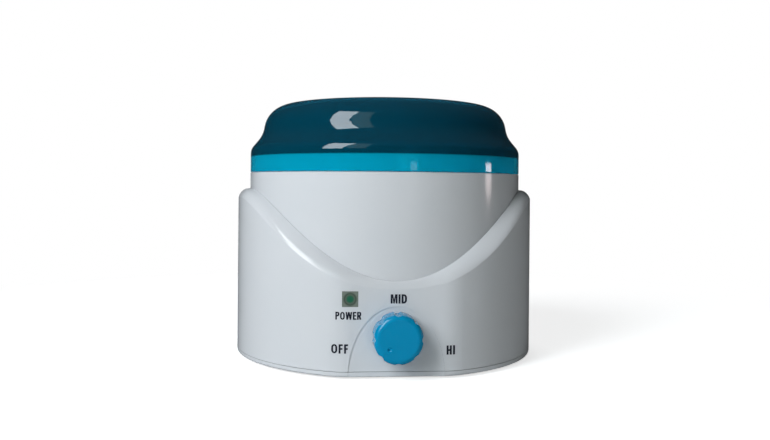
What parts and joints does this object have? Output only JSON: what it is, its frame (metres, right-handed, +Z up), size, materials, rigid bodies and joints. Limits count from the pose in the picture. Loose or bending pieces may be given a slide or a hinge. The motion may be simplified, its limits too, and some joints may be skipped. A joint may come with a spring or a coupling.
{
  "type": "wax warmer",
  "caption": "Round electric wax warmer: scooped white housing with a lift-off tinted lid, a removable pot, a turning temperature knob and an indicator lamp.",
  "frame": {"origin": "on the round housing's axis, in the plane of the feet", "axes": "+Z up, -Y towards the front with the knob, +X to the right as seen from the front"},
  "size_m": [0.165, 0.1741, 0.1383],
  "materials": {
    "lid": "clear tinted moulding, polished",
    "white_shell": "moulded, gloss",
    "knob": "moulded, satin gloss",
    "lens": "clear polycarbonate, polished",
    "lamp": "green diffused epoxy",
    "aluminium": "spun, satin",
    "steel": "zinc plated",
    "brass": "nickel and brass, machined",
    "rubber": "moulded, matte",
    "silicone": "silicone, matte",
    "mica": "mica and glass, matte",
    "glass_fibre": "braided glass fibre",
    "ceramic": "steatite, matte",
    "nylon": "nylon, matte",
    "board": "glass epoxy laminate",
    "wire": "silicone insulated wire",
    "earth_wire": "insulated wire, green and yellow"
  },
  "bodies": {
    "housing": {"upper_housing": "white_shell", "base_housing": "white_shell", "base_plate": "white_shell", "rubber_feet": "rubber", "base_screws": "steel", "heating_well": "aluminium", "well_seal": "silicone", "well_screws": "steel", "heater_band": "mica", "band_clamp": "steel", "clamp_screw": "steel", "clamp_nut": "steel", "insulation_sleeve": "glass_fibre", "thermostat_bracket": "steel", "bracket_nuts": "steel", "thermostat_body": "ceramic", "thermostat_washer": "steel", "thermostat_nut": "brass", "indicator_lens": "lens", "indicator_lamp": "lamp", "indicator_board": "board", "board_screws": "steel", "thermal_fuse": "ceramic", "fuse_clip": "steel", "fuse_nuts": "steel", "earth_tag": "brass", "earth_nut": "steel", "terminal_block": "nylon", "wire_screws": "brass", "block_screws": "steel", "cord_gland": "rubber", "heater_leads": "wire", "switch_lead": "wire", "supply_lead": "wire", "earth_lead": "earth_wire", "lamp_leads": "wire"},
    "pot": {"wax_pot": "aluminium"},
    "lid": {"lid": "lid"},
    "knob": {"knob": "knob", "thermostat_shaft": "steel"}
  },
  "joints": [
    {"name": "pot_lift", "type": "slide", "parent": "housing", "child": "pot", "axis": [0, 0, 1], "range_m": [0, 0.08]},
    {"name": "lid_lift", "type": "slide", "parent": "pot", "child": "lid", "axis": [0, 0, 1], "range_m": [0, 0.06]},
    {"name": "knob_turn", "type": "hinge", "parent": "housing", "child": "knob", "pos_m": [0, -0.0835, 0.0208], "axis": [0, 1, 0], "range_deg": [0, 270]}
  ]
}
